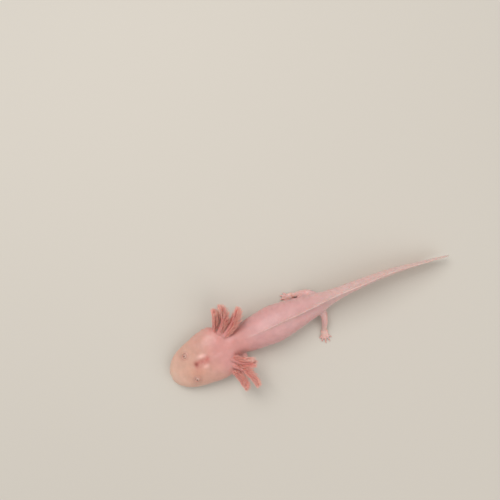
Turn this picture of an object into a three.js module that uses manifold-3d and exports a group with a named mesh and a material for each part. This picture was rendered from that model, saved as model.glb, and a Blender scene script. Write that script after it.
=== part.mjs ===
// A young albino axolotl at life size, lying on its belly, as a museum model.
// Millimetres, +Z up. The animal faces -Y and its left side is +X. The origin is on the
// floor, under the middle of the bounding box.
import * as THREE from "three";
import { mergeVertices } from "three/addons/utils/BufferGeometryUtils.js";
import Module from "manifold-3d";

const wasm = await Module();
wasm.setup();

// ---------------------------------------------------------------- driving dimensions

const LENGTH = 163.5; // snout to tail tip, measured along the spine
const GAP = 0.3; // thin cut between neighbouring pieces
const CORE_SIDES = 20;
const HEAD_TURN = THREE.MathUtils.degToRad(-4.5); // the head looks a little to the left
const TAIL_TURN = THREE.MathUtils.degToRad(11); // the tail curves to the left as well
const NOSE_LENGTH = 10; // the stretch over which the snout rounds off
const NOSE_POWER = 2.2;
const NOSE_DEPTH = 0.6; // below 1, the snout fills out in depth sooner than in width
const BACK_POWER = 2.1; // a section's upper half is a superellipse, nearly round at 2
const BELLY_POWER = 2.4; // its lower half is a little squarer
const SPINE_STEP = 0.25;

// Places on the body are [distance from the snout, distance from the spine, height].
const EYE = { along: 12.5, out: 6.9, radius: 1.6, sunk: 0.8 };
const CUTS = { neck: 35, chest: 39.5, belly: 56, pelvis: 74, vent: 92, tail: 111, tip: 135 };
const MOUTH = { front: 3.9, riseAlong: 8, corner: 4.8, cornerAlong: 14.5, throatAlong: 23 };
const FIN = { start: 43, rootHalf: 0.62, edgeHalf: 0.3, end: LENGTH - 1.2, lowerStart: 91 };

// Each limb bends at three joints; its foot points along [forward or back, outward].
const ARM = {
  names: ["upper_arm", "forearm", "hand"],
  radii: [1.9, 1.45, 1.1],
  palm: { length: 2.1, width: 1.75, height: 0.85 },
  toes: [2.7, 4, 4.1, 2.9],
  spread: 27,
};
const LEG = {
  names: ["thigh", "shin", "foot"],
  radii: [2.5, 1.8, 1.25],
  palm: { length: 2.4, width: 2.05, height: 0.95 },
  toes: [2.5, 3.6, 4.4, 4.1, 2.9],
  spread: 22,
};
const LIMBS = {
  arm_left: {
    ...ARM, side: 1, aim: [-0.25, 1],
    joints: [[39.8, 4.4, 5.2], [39.6, 10.4, 4.6], [35.6, 15.2, 1.6]],
  },
  arm_right: {
    ...ARM, side: -1, aim: [-0.1, 1],
    joints: [[40.4, 4.4, 5.2], [41.6, 10, 4.5], [37.8, 14, 1.6]],
  },
  leg_left: {
    ...LEG, side: 1, aim: [-0.3, 1],
    joints: [[88.4, 2.4, 6], [87.2, 9.8, 5.6], [85.2, 14.8, 1.8]],
  },
  leg_right: {
    ...LEG, side: -1, aim: [-1, 0.05], toes: [1.5, 3.6, 4.4, 4.1, 2.9],
    joints: [[88.4, 2.4, 6], [84.6, 7.2, 5], [78.2, 8.4, 1.8]],
  },
};
const TOE = { rootRadius: 0.55, tipRadius: 0.36, height: 0.36 };

// Each gill is a curved stalk through three places, fringed by two rows of filaments.
const GILL = {
  radii: [1.35, 1.0, 0.45],
  filaments: 6, filamentLength: 4, filamentRadius: 0.45, tipRadius: 0.36,
  firstAt: 0.4, lastAt: 0.97, lean: 0.75, droop: 0.45,
};
const GILLS = {
  gill_left_1: { side: 1, stalk: [[30.6, 11.6, 6.4], [32, 17.8, 10.2], [33, 22.8, 13.8]] },
  gill_left_2: { side: 1, stalk: [[32.4, 9, 9], [37.2, 15.2, 13], [40, 25, 15]] },
  gill_left_3: { side: 1, stalk: [[33.8, 6.2, 10.4], [37.9, 9.9, 15], [44, 12.4, 19]] },
  gill_right_1: { side: -1, stalk: [[31.6, 9.8, 7.6], [34.6, 15.2, 11.6], [36.8, 19.8, 15.2]] },
  gill_right_2: { side: -1, stalk: [[33.4, 8, 9.6], [39, 14.4, 14.2], [40.6, 21.6, 18.2]] },
  gill_right_3: { side: -1, stalk: [[34.8, 5.8, 10.2], [43.2, 11, 14.6], [48.8, 16.4, 18]] },
};

// ---------------------------------------------------------------- profiles of the body

// A monotone cubic through [place, value] knots, which never swells between them.
function profile(knots) {
  const at = knots.map((knot) => knot[0]);
  const value = knots.map((knot) => knot[1]);
  const chord = at.slice(1).map((end, i) => (value[i + 1] - value[i]) / (end - at[i]));
  const slope = at.map((_, i) => {
    if (i === 0 || i === at.length - 1) return chord[Math.max(i - 1, 0)];
    const product = chord[i - 1] * chord[i];
    return product > 0 ? (2 * product) / (chord[i - 1] + chord[i]) : 0;
  });
  return (place) => {
    const x = THREE.MathUtils.clamp(place, at[0], at[at.length - 1]);
    const next = at.findIndex((knot) => knot > x);
    const i = next < 0 ? at.length - 2 : next - 1;
    const span = at[i + 1] - at[i];
    const u = (x - at[i]) / span;
    const start = (1 - u) * (1 - u) * ((1 + 2 * u) * value[i] + u * span * slope[i]);
    const end = u * u * ((3 - 2 * u) * value[i + 1] + (u - 1) * span * slope[i + 1]);
    return start + end;
  };
}

// Half width, as seen from above.
const halfWidth = profile([
  [0, 8], [3, 8.8], [6.5, 9.8], [10.6, 11.1], [17.4, 12.9], [23, 14], [28, 14.3],
  [31, 13.2], [33.5, 10.6], [37, 7.8], [41, 7.2], [46.7, 8.3], [53, 9.1], [61, 9.9],
  [69, 9.1], [76, 7.8], [83, 6.5], [89, 5.2], [94, 4.1], [100, 3.3], [109, 2.7],
  [118, 2.3], [129, 1.85], [139, 1.4], [150, 0.85], [158, 0.6], [163.5, 0.5],
]);
// Height of the back, of the widest line and of the belly, as seen from the side.
const backHeight = profile([
  [0, 7], [4, 8.2], [8, 9.3], [13, 10.6], [19, 11.9], [25, 12.8], [31, 12.5], [37, 11.9],
  [44, 13.3], [53, 15.4], [61, 16.1], [70, 15.5], [80, 14.1], [90, 12.7], [100, 11.7],
  [115, 10.4], [132, 9], [148, 7.2], [158, 5.9], [163.5, 5.3],
]);
const waistHeight = profile([
  [0, 4], [10, 4.4], [24, 5.4], [36, 6.2], [50, 6.5], [66, 6.6], [80, 7], [95, 7.6],
  [115, 7.5], [137, 6.6], [153, 5.6], [163.5, 4.9],
]);
const bellyHeight = profile([
  [0, 1.7], [5, 1], [12, 0.6], [24, 0.4], [32, 1], [38, 0.8], [46, -0.3], [66, -0.35],
  [75, 0.2], [84, 1.2], [92, 2.8], [100, 4], [112, 4.7], [127, 4.7], [142, 4.3],
  [155, 4.1], [163.5, 4.5],
]);
// Upper and lower edge of the fins.
const crestHeight = profile([
  [43, 12.7], [50, 15.4], [60, 17.2], [70, 17.5], [80, 17.4], [90, 17.7], [100, 18.2],
  [111, 18.2], [122, 17.1], [135, 14.8], [146, 12.1], [155, 9.4], [161, 7], [163.5, 5.6],
]);
const keelHeight = profile([
  [91, 3.4], [96, 1.5], [101, 0.2], [106, -0.2], [137, -0.2], [145, 0.3], [153, 1.5],
  [160, 3.2], [163.5, 4.4],
]);

const ease = (x, low, high) => THREE.MathUtils.smoothstep(x, low, high);
const heading = (along) =>
  HEAD_TURN * (1 - ease(along, 22, 52)) + TAIL_TURN * ease(along, 92, 155);

// The spine's plan, from the snout, as the sum of short straight steps.
const spine = [new THREE.Vector2(0, 0)];
for (let along = 0; along < LENGTH; along += SPINE_STEP) {
  const turn = heading(along + SPINE_STEP / 2);
  const step = new THREE.Vector2(Math.sin(turn), Math.cos(turn)).multiplyScalar(SPINE_STEP);
  spine.push(spine.at(-1).clone().add(step));
}

// The point at a place on the body: along the spine, out to the left, and up.
function place(along, out, height) {
  const step = THREE.MathUtils.clamp(along / SPINE_STEP, 0, spine.length - 1.001);
  const i = Math.floor(step);
  const centre = spine[i].clone().lerp(spine[i + 1], step - i);
  const turn = heading(along);
  return new THREE.Vector3(
    centre.x + out * Math.cos(turn),
    centre.y - out * Math.sin(turn) + Math.min(along, 0),
    height,
  );
}

const signedPower = (x, power) => Math.sign(x) * Math.abs(x) ** power;

// How far the snout has filled out: 0 at its tip, 1 past its rounded stretch.
function noseFill(along) {
  const left = 1 - Math.min(along / NOSE_LENGTH, 1);
  return (1 - left ** NOSE_POWER) ** (1 / NOSE_POWER);
}

// A point on the body's skin, where angle 0 is the back and a right angle the left side.
function skinPoint(along, angle, grow = 0) {
  const fill = noseFill(along);
  const waist = waistHeight(along);
  const isUpper = Math.cos(angle) >= 0;
  const reach = isUpper ? backHeight(along) - waist : waist - bellyHeight(along);
  const power = 2 / (isUpper ? BACK_POWER : BELLY_POWER);
  return place(
    along,
    (halfWidth(along) * fill + grow) * signedPower(Math.sin(angle), power),
    waist + (reach * fill ** NOSE_DEPTH + grow) * signedPower(Math.cos(angle), power),
  );
}

// ---------------------------------------------------------------- making closed solids

// A BufferGeometry skinned over rings of points, closed by a fan at each end. Each ring
// turns counter-clockwise about the direction in which the rings follow each other.
function loft(rings) {
  const sides = rings[0].length;
  const points = rings.flat();
  const middle = (ring) =>
    ring.reduce((sum, point) => sum.add(point), new THREE.Vector3()).divideScalar(sides);
  const first = points.push(middle(rings[0])) - 1;
  const last = points.push(middle(rings.at(-1))) - 1;
  const lastRing = (rings.length - 1) * sides;
  const faces = [];
  for (let k = 0; k < sides; k++) {
    const next = (k + 1) % sides;
    faces.push(first, next, k, last, lastRing + k, lastRing + next);
    for (let row = 0; row < lastRing; row += sides) {
      const [a, b, c, d] = [row + k, row + next, row + sides + next, row + sides + k];
      faces.push(a, b, c, a, c, d);
    }
  }
  return new THREE.BufferGeometry().setFromPoints(points).setIndex(faces);
}

// The manifold-3d solid of a closed geometry.
function solid(geometry) {
  const bare = new THREE.BufferGeometry()
    .setAttribute("position", geometry.getAttribute("position"))
    .setIndex(geometry.getIndex());
  const merged = mergeVertices(bare, 1e-4);
  return new wasm.Manifold(new wasm.Mesh({
    numProp: 3,
    vertProperties: new Float32Array(merged.getAttribute("position").array),
    triVerts: new Uint32Array(merged.getIndex().array),
  }));
}

// The largest of a solid's separate bodies.
const largest = (made) =>
  made.decompose().reduce((best, body) => (body.volume() > best.volume() ? body : best));

const aboveFloor = (made) => made.trimByPlane([0, 0, 1], 0);

// The part of a solid on one side of a plane, set back from it by half a gap.
function side(made, point, normal) {
  const offset = point.dot(normal) + GAP / 2;
  return made.trimByPlane(normal.toArray(), offset);
}

// Rings along a curve, whose radius follows a profile from 0 to 1, with rounded ends.
function tube(curve, radiusAt, steps, sides) {
  const frames = curve.computeFrenetFrames(steps, false);
  const length = curve.getLength();
  const rings = [];
  for (let i = 0; i <= steps; i++) {
    const centre = curve.getPointAt(i / steps);
    const radius = radiusAt(i / steps);
    const toEnd = Math.min(i, steps - i) * (length / steps);
    const flat = 1 - Math.min(toEnd / radius, 0.9);
    const reach = radius * Math.sqrt(1 - Math.min(flat, 0.85) ** 2);
    const ring = [];
    for (let k = 0; k < sides; k++) {
      const angle = (2 * Math.PI * k) / sides;
      const point = centre.clone();
      point.addScaledVector(frames.normals[i], reach * Math.cos(angle));
      point.addScaledVector(frames.binormals[i], reach * Math.sin(angle));
      ring.push(point);
    }
    rings.push(ring);
  }
  return loft(rings);
}

const curveThrough = (points) => new THREE.CatmullRomCurve3(points, false, "centripetal");
const evenProfile = (values) =>
  profile(values.map((value, i) => [i / (values.length - 1), value]));

// ---------------------------------------------------------------- head, trunk and tail

// Stations of the core, closest together where the snout rounds off.
const STATIONS = [
  ...[0.04, 0.13, 0.3, 0.52, 0.76].map((share) => NOSE_LENGTH * share ** 1.6),
  8.4, 11, 14, 17.5, 21, 24.5, 27.5, 29.5, 31.5, 33.5, 36, 38.5, 42, 46, 50.5, 55, 60, 65,
  70, 75, 80, 84.5, 88.5, 94, 98, 103, 109, 117, 126, 134, 143, 151, 158, LENGTH,
];

const STATION_CLEARANCE = 0.6; // no station lies closer to a cut than this

// The core's outline at a place along it.
const coreRing = (along, grow = 0) =>
  Array.from({ length: CORE_SIDES }, (_, k) =>
    skinPoint(along, (2 * Math.PI * k) / CORE_SIDES, grow));

// A length of the core, with a flat end at each cut.
function core(from, to) {
  const between = STATIONS.filter((along) =>
    along > from + STATION_CLEARANCE && along < to - STATION_CLEARANCE);
  return aboveFloor(solid(loft([from, ...between, to].map((along) => coreRing(along)))));
}

// The whole core grown by a gap, which is cut out of what joins it.
const grownCore = solid(loft([...STATIONS, LENGTH + GAP].map((along) => coreRing(along, GAP))));
const clearOfBody = (made) => aboveFloor(largest(made.subtract(grownCore)));

// The space of the lower jaw, seen from the side, as a prism right across the head.
function jawSpace(grow) {
  const outline = new THREE.Shape();
  const outside = -5;
  const width = 60;
  outline.moveTo(outside, MOUTH.front + grow);
  outline.lineTo(MOUTH.riseAlong, MOUTH.front + grow);
  outline.lineTo(MOUTH.cornerAlong + grow, MOUTH.corner + grow);
  outline.lineTo(MOUTH.throatAlong + grow, outside);
  outline.lineTo(outside, outside);
  const prism = new THREE.ExtrudeGeometry(outline, { depth: width, bevelEnabled: false });
  const across = new THREE.Matrix4().makeBasis(
    new THREE.Vector3(0, 1, 0), new THREE.Vector3(0, 0, 1), new THREE.Vector3(1, 0, 0));
  prism.applyMatrix4(across).translate(-width / 2, 0, 0).rotateZ(-HEAD_TURN);
  return solid(mergeVertices(prism.deleteAttribute("normal").deleteAttribute("uv")));
}

// Centre of an eye, sunk into the head along the skin's normal there.
function eyeCentre(sign) {
  const reach = halfWidth(EYE.along) * noseFill(EYE.along);
  const angle = sign * Math.asin((EYE.out / reach) ** (BACK_POWER / 2));
  const point = skinPoint(EYE.along, angle);
  const nearby = skinPoint(EYE.along, angle * 1.02).sub(skinPoint(EYE.along, angle * 0.98));
  const forward = skinPoint(EYE.along - 0.2, angle).sub(skinPoint(EYE.along + 0.2, angle));
  const inward = nearby.cross(forward).normalize();
  if (inward.z > 0) inward.negate();
  return point.addScaledVector(inward, EYE.sunk);
}
function eyeBall(sign, grow = 0) {
  const ball = new THREE.SphereGeometry(EYE.radius + grow, 11, 6);
  const centre = eyeCentre(sign);
  return solid(ball.translate(centre.x, centre.y, centre.z));
}

function headPieces() {
  const whole = core(STATIONS[0], CUTS.neck - GAP / 2);
  const sockets = eyeBall(1, GAP).add(eyeBall(-1, GAP));
  return {
    head: largest(whole.subtract(jawSpace(GAP)).subtract(sockets)),
    lower_jaw: largest(whole.intersect(jawSpace(0))),
    eye_left: eyeBall(1),
    eye_right: eyeBall(-1),
  };
}

function trunkAndTail() {
  const lengths = {
    neck: [CUTS.neck, CUTS.chest],
    trunk_front: [CUTS.chest, CUTS.belly],
    trunk_middle: [CUTS.belly, CUTS.pelvis],
    trunk_rear: [CUTS.pelvis, CUTS.vent],
    tail_base: [CUTS.vent, CUTS.tail],
    tail_middle: [CUTS.tail, CUTS.tip],
    tail_end: [CUTS.tip, LENGTH + GAP / 2],
  };
  return Object.fromEntries(Object.entries(lengths).map(([name, [from, to]]) =>
    [name, core(from + GAP / 2, to - GAP / 2)]));
}

// ---------------------------------------------------------------- fins

// A thin upright blade from inside the core to its edge, thinner towards the edge.
function blade(from, to, rootHeight, edgeHeight, spacing) {
  const count = Math.round((to - from) / spacing);
  const rings = [];
  for (let i = 0; i <= count; i++) {
    const along = from + ((to - from) * i) / count;
    const root = rootHeight(along);
    const edge = edgeHeight(along);
    const [low, high] = [Math.min(root, edge), Math.max(root, edge)];
    const [lowHalf, highHalf] = edge > root
      ? [FIN.rootHalf, FIN.edgeHalf]
      : [FIN.edgeHalf, FIN.rootHalf];
    rings.push([
      place(along, highHalf, high),
      place(along, lowHalf, low),
      place(along, -lowHalf, low),
      place(along, -highHalf, high),
    ]);
  }
  return solid(loft(rings));
}

function fins() {
  const middle = (along) => waistHeight(along);
  const join = CUTS.vent;
  return {
    dorsal_fin: clearOfBody(blade(FIN.start, join - GAP / 2, middle, crestHeight, 5)),
    tail_fin_upper: clearOfBody(blade(join + GAP / 2, FIN.end, middle, crestHeight, 5)),
    tail_fin_lower: clearOfBody(blade(FIN.lowerStart, FIN.end, middle, keelHeight, 5)),
  };
}

// ---------------------------------------------------------------- legs and feet

// A foot: a low palm with a fan of toes, flat underneath where it stands.
function foot(limb, wrist) {
  const aim = new THREE.Vector2(limb.aim[1] * limb.side, limb.aim[0]).normalize();
  const turn = Math.atan2(aim.x, aim.y);
  const { length, width, height } = limb.palm;
  const palm = new THREE.SphereGeometry(1, 8, 6).scale(width, length, height);
  palm.rotateZ(-turn).translate(
    wrist.x + aim.x * length * 0.75, wrist.y + aim.y * length * 0.75, height * 0.85);
  let made = solid(palm);
  const middleToe = (limb.toes.length - 1) / 2;
  limb.toes.forEach((toeLength, i) => {
    const fan = (i - middleToe) * THREE.MathUtils.degToRad(limb.spread) * limb.side;
    const direction = new THREE.Vector3(Math.sin(turn - fan), Math.cos(turn - fan), 0);
    const root = new THREE.Vector3(wrist.x, wrist.y, TOE.height * 1.7);
    root.addScaledVector(new THREE.Vector3(aim.x, aim.y, 0), length * 0.7);
    const knuckle = root.clone().addScaledVector(direction, length * 0.9);
    const tip = root.clone().addScaledVector(direction, length * 0.9 + toeLength);
    tip.z = TOE.height;
    const radii = profile([[0, TOE.rootRadius], [1, TOE.tipRadius]]);
    made = made.add(solid(tube(curveThrough([root, knuckle, tip]), radii, 3, 4)));
  });
  return made;
}

const KNUCKLES_AHEAD = 1.2; // the leg's tube ends this far past the wrist, in the palm
const ANKLE_BACK = 0.5; // the cut above the foot lies this far back from the wrist

// Upper leg, lower leg and foot, parted by thin cuts at the joints.
function limbPieces(limb) {
  const joints = limb.joints.map(([along, out, height]) =>
    place(along, out * limb.side, height));
  const [root, bend, wrist] = joints;
  const knuckles = wrist.clone();
  knuckles.z = limb.palm.height;
  knuckles.x += limb.aim[1] * limb.side * KNUCKLES_AHEAD;
  knuckles.y += limb.aim[0] * KNUCKLES_AHEAD;
  const radii = evenProfile([...limb.radii, limb.radii[2] * 0.8]);
  const whole = solid(tube(curveThrough([...joints, knuckles]), radii, 8, 8));
  const cutAtBend = bend.clone().sub(root).normalize().add(
    wrist.clone().sub(bend).normalize()).normalize();
  const cutAtWrist = wrist.clone().sub(bend).normalize();
  const back = (normal) => normal.clone().negate();
  const ankle = wrist.clone().addScaledVector(cutAtWrist, -ANKLE_BACK);
  return [
    clearOfBody(side(whole, bend, back(cutAtBend))),
    clearOfBody(side(side(whole, bend, cutAtBend), ankle, back(cutAtWrist))),
    clearOfBody(side(whole.add(foot(limb, wrist)), ankle, cutAtWrist)),
  ];
}

function limbs() {
  const made = {};
  for (const [key, limb] of Object.entries(LIMBS)) {
    const suffix = key.endsWith("left") ? "left" : "right";
    limbPieces(limb).forEach((piece, i) => {
      made[`${limb.names[i]}_${suffix}`] = piece;
    });
  }
  return made;
}

// ---------------------------------------------------------------- gills

// A filament: a slim three-sided spike from the middle of the stalk.
function filament(root, direction, length, grow) {
  const tip = root.clone().addScaledVector(direction, length);
  const line = new THREE.LineCurve3(root, tip);
  const frames = line.computeFrenetFrames(1, false);
  const ring = (centre, radius) =>
    Array.from({ length: 3 }, (_, k) =>
      centre.clone()
        .addScaledVector(frames.normals[0], radius * Math.cos((k * 2 * Math.PI) / 3))
        .addScaledVector(frames.binormals[0], radius * Math.sin((k * 2 * Math.PI) / 3)));
  const rings = [ring(root, GILL.filamentRadius + grow), ring(tip, GILL.tipRadius + grow)];
  return solid(loft(rings));
}

// A whole gill, or the same gill grown all round as a cutter for its neighbours.
function gill({ side: sign, stalk }, grow = 0) {
  const points = stalk.map(([along, out, height]) => place(along, out * sign, height));
  const curve = curveThrough(points);
  const radii = evenProfile(GILL.radii.map((radius) => radius + grow));
  let made = solid(tube(curve, radii, 7, 6));
  for (let i = 0; i < GILL.filaments; i++) {
    const share = i / (GILL.filaments - 1);
    const at = GILL.firstAt + (GILL.lastAt - GILL.firstAt) * share;
    const tangent = curve.getTangentAt(at);
    const sideways = new THREE.Vector3(tangent.y, -tangent.x, 0).normalize();
    const reach = GILL.filamentLength * (0.55 + 0.45 * Math.sin(Math.PI * share ** 0.8));
    for (const row of [-1, 1]) {
      const direction = sideways.clone().multiplyScalar(row);
      direction.addScaledVector(tangent, GILL.lean).setZ(direction.z - GILL.droop);
      const root = curve.getPointAt(at);
      made = made.add(filament(root, direction.normalize(), reach + grow, grow));
    }
  }
  return made;
}

function gills() {
  const names = Object.keys(GILLS);
  return Object.fromEntries(names.map((name, i) => {
    const neighbours = names.slice(0, i).filter((other) =>
      GILLS[other].side === GILLS[name].side);
    const clear = neighbours.reduce((made, other) =>
      made.subtract(gill(GILLS[other], GAP)), gill(GILLS[name]));
    return [name, clearOfBody(clear)];
  }));
}

// ---------------------------------------------------------------- the finished group

const LOOKS = {
  skin: { color: 0xe6bdb4, roughness: 0.4, metalness: 0 },
  fin: { color: 0xeccbc2, roughness: 0.4, metalness: 0 },
  gill: { color: 0xb55f5b, roughness: 0.45, metalness: 0 },
  eye: { color: 0xa87a72, roughness: 0.1, metalness: 0 },
};
const lookOf = (name) => ["gill", "eye", "fin"].find((word) => name.includes(word)) ?? "skin";

function mesh(name, made) {
  const { vertProperties, triVerts } = made.getMesh();
  const geometry = new THREE.BufferGeometry()
    .setAttribute("position", new THREE.BufferAttribute(new Float32Array(vertProperties), 3))
    .setIndex(new THREE.BufferAttribute(new Uint32Array(triVerts), 1));
  geometry.computeVertexNormals();
  const piece = new THREE.Mesh(geometry, new THREE.MeshStandardMaterial(LOOKS[lookOf(name)]));
  piece.name = name;
  return piece;
}

const axolotl = new THREE.Group();
const pieces = {
  ...headPieces(),
  ...trunkAndTail(),
  ...fins(),
  ...limbs(),
  ...gills(),
};
for (const [name, made] of Object.entries(pieces)) axolotl.add(mesh(name, made));

// The frame's origin is under the middle of the whole animal.
const box = new THREE.Box3().setFromObject(axolotl);
axolotl.position.set(-(box.min.x + box.max.x) / 2, -(box.min.y + box.max.y) / 2, 0);

export default axolotl;
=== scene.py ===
# %% [markdown]
# # A young white axolotl, life size
# The animal rests on its belly on a pale floor and is seen from straight above. Its solid
# parts come first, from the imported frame. This lesson clothes them: one skin with fins and
# legs, two small eyes, and six gills with a fringe of fine filaments.

# %% Load the frame and measure it
import math

import bmesh
import bpy
import numpy as np
from mathutils import Matrix, Vector


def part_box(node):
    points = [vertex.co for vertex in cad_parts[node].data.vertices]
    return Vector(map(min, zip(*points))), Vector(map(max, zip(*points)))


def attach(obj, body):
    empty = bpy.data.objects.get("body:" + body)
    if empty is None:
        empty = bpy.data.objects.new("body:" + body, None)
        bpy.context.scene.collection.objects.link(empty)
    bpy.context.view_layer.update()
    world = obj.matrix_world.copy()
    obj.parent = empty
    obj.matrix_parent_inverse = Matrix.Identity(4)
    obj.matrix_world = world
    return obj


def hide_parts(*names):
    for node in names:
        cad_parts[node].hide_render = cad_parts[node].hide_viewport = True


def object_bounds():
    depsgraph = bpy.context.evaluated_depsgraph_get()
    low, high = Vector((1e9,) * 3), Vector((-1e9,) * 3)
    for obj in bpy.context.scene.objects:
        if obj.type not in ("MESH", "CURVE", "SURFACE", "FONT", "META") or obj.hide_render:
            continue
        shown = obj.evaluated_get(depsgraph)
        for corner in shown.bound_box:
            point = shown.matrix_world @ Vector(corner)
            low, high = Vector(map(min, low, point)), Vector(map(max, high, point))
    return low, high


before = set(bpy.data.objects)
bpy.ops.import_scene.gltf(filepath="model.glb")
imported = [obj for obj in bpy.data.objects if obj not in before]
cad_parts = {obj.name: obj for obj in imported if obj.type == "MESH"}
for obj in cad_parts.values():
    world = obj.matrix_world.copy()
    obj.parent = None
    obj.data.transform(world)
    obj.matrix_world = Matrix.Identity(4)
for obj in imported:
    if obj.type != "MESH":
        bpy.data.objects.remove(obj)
frame_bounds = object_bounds()
MM = 0.001
print("the frame holds", len(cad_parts), "nodes")

# %% [markdown]
# The body is thought of as a bent tube. A place on it is told by three numbers: how far
# behind the snout it lies, how far out from the spine, and how high above the floor.
# Everything is worked out in millimetres in that bent frame, and only finished meshes
# are turned into metres. Sizes along the body are read from smooth profiles through a
# few given knots, as a boat is drawn from its lines.

# %% Smooth profiles and soft steps
LENGTH = 163.5


def profile(knots):
    """A curve through (place, value) knots: between two knots it is a cubic whose slope at
    each is the harmonic mean of the slopes on its two sides, so it never overshoots."""
    at, value = np.array(knots, float).T
    chord = np.diff(value) / np.diff(at)
    product = chord[:-1] * chord[1:]
    total = chord[:-1] + chord[1:]
    inner = np.where(product > 0, 2 * product / np.where(total == 0, 1, total), 0)
    slope = np.concatenate([chord[:1], inner, chord[-1:]])

    def curve(place):
        x = np.clip(place, at[0], at[-1])
        i = np.clip(np.searchsorted(at, x, side="right") - 1, 0, len(at) - 2)
        span = at[i + 1] - at[i]
        u = (x - at[i]) / span
        start = (1 - u) ** 2 * ((1 + 2 * u) * value[i] + u * span * slope[i])
        end = u**2 * ((3 - 2 * u) * value[i + 1] + (u - 1) * span * slope[i + 1])
        return start + end

    return curve


def even_profile(values):
    """A profile over 0 to 1 with its knots at even steps."""
    return profile(list(zip(np.linspace(0, 1, len(values)), values)))


def ease(x, low, high):
    """0 below low, 1 above high, and the smooth step 3t^2 - 2t^3 between."""
    t = np.clip((x - low) / (high - low), 0, 1)
    return t * t * (3 - 2 * t)


def bell(x, width):
    """1 at zero and e to the minus (x / width)^2 away from it."""
    return np.exp(-((x / width) ** 2))


def between(x, low, high, soft):
    """1 from low to high, falling to 0 over a soft stretch outside them."""
    return ease(x, low - soft, low) * (1 - ease(x, high, high + soft))


# %% The spine, and places told from it
HEAD_TURN, NECK = math.radians(-4.5), (22, 52)
TAIL_TURN, TAIL_BEND = math.radians(11), (92, 155)
STEP = 0.25
spine_along = np.arange(0, LENGTH + STEP, STEP)


def heading(along):
    """The spine's turn from straight back: the head's turn fades out behind the neck, and
    the tail's grows from its root."""
    return HEAD_TURN * (1 - ease(along, *NECK)) + TAIL_TURN * ease(along, *TAIL_BEND)


turns = heading(spine_along[:-1] + STEP / 2)
spine_x = np.concatenate([[0], np.cumsum(np.sin(turns) * STEP)])
spine_y = np.concatenate([[0], np.cumsum(np.cos(turns) * STEP)])


def place(along, out, height):
    """The spine's point at a distance behind the snout, plus out times the way to its left,
    and height straight up. Past either end the spine goes on straight."""
    along, out, height = np.broadcast_arrays(*(np.asarray(x, float) for x in (along, out, height)))
    turn = heading(along)
    past = np.minimum(along, 0) + np.maximum(along - LENGTH, 0)
    x = np.interp(along, spine_along, spine_x) + past * np.sin(turn) + out * np.cos(turn)
    y = np.interp(along, spine_along, spine_y) + past * np.cos(turn) - out * np.sin(turn)
    return np.stack([x, y, height], axis=-1)


def told(points):
    """The reverse of place: slides along the spine to the foot of each point's
    perpendicular in a few steps, and measures out from there."""
    along = points[:, 1].copy()
    for _ in range(6):
        gap = points - place(along, 0, points[:, 2])
        turn = heading(along)
        along = along + gap[:, 0] * np.sin(turn) + gap[:, 1] * np.cos(turn)
    gap = points - place(along, 0, points[:, 2])
    return along, gap[:, 0] * np.cos(turn) - gap[:, 1] * np.sin(turn), points[:, 2]


print("the spine ends at", round(float(spine_x[-1]), 1), round(float(spine_y[-1]), 1), "mm")

# %% The body's lines
half_width = profile([
    (0, 8), (3, 8.8), (6.5, 9.8), (10.6, 11.1), (17.4, 12.9), (23, 14), (28, 14.3),
    (31, 13.2), (33.5, 10.6), (37, 7.8), (41, 7.2), (46.7, 8.3), (53, 9.1), (61, 9.9),
    (69, 9.1), (76, 7.8), (83, 6.5), (89, 5.2), (94, 4.1), (100, 3.3), (109, 2.7),
    (118, 2.3), (129, 1.85), (139, 1.4), (150, 0.85), (158, 0.6), (163.5, 0.5),
])
back_height = profile([
    (0, 7), (4, 8.2), (8, 9.3), (13, 10.6), (19, 11.9), (25, 12.8), (31, 12.5), (37, 11.9),
    (44, 13.3), (53, 15.4), (61, 16.1), (70, 15.5), (80, 14.1), (90, 12.7), (100, 11.7),
    (115, 10.4), (132, 9), (148, 7.2), (158, 5.9), (163.5, 5.3),
])
waist_height = profile([
    (0, 4), (10, 4.4), (24, 5.4), (36, 6.2), (50, 6.5), (66, 6.6), (80, 7), (95, 7.6),
    (115, 7.5), (137, 6.6), (153, 5.6), (163.5, 4.9),
])
belly_height = profile([
    (0, 1.7), (5, 1), (12, 0.6), (24, 0.4), (32, 1), (38, 0.8), (46, -0.3), (66, -0.35),
    (75, 0.2), (84, 1.2), (92, 2.8), (100, 4), (112, 4.7), (127, 4.7), (142, 4.3),
    (155, 4.1), (163.5, 4.5),
])
crest_height = profile([
    (43, 12.7), (50, 15.4), (60, 17.2), (70, 17.5), (80, 17.4), (90, 17.7), (100, 18.2),
    (111, 18.2), (122, 17.1), (135, 14.8), (146, 12.1), (155, 9.4), (161, 6.7), (163.5, 5.2),
])
keel_height = profile([
    (91, 3.4), (96, 1.5), (101, 0.2), (106, -0.2), (137, -0.2), (145, 0.3), (153, 1.5),
    (160, 3.3), (163.5, 4.7),
])
NOSE_LENGTH, NOSE_POWER, NOSE_DEPTH = 10, 2.2, 0.6
BACK_POWER, BELLY_POWER = 2.1, 2.4


def nose_fill(along):
    """How far the snout has filled out: a superellipse from 0 at its tip to 1."""
    left = 1 - np.clip(along / NOSE_LENGTH, 0, 1)
    return (1 - left**NOSE_POWER) ** (1 / NOSE_POWER)


def body_reach(along, upper):
    """The reach from the widest line up to the back or down to the belly. The snout fills
    out in depth sooner than in width, by a power below 1 of its fill."""
    waist = waist_height(along)
    reach = np.where(upper, back_height(along) - waist, waist - belly_height(along))
    return reach * nose_fill(along) ** NOSE_DEPTH


def signed_power(x, power):
    return np.sign(x) * np.abs(x) ** power


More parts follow.
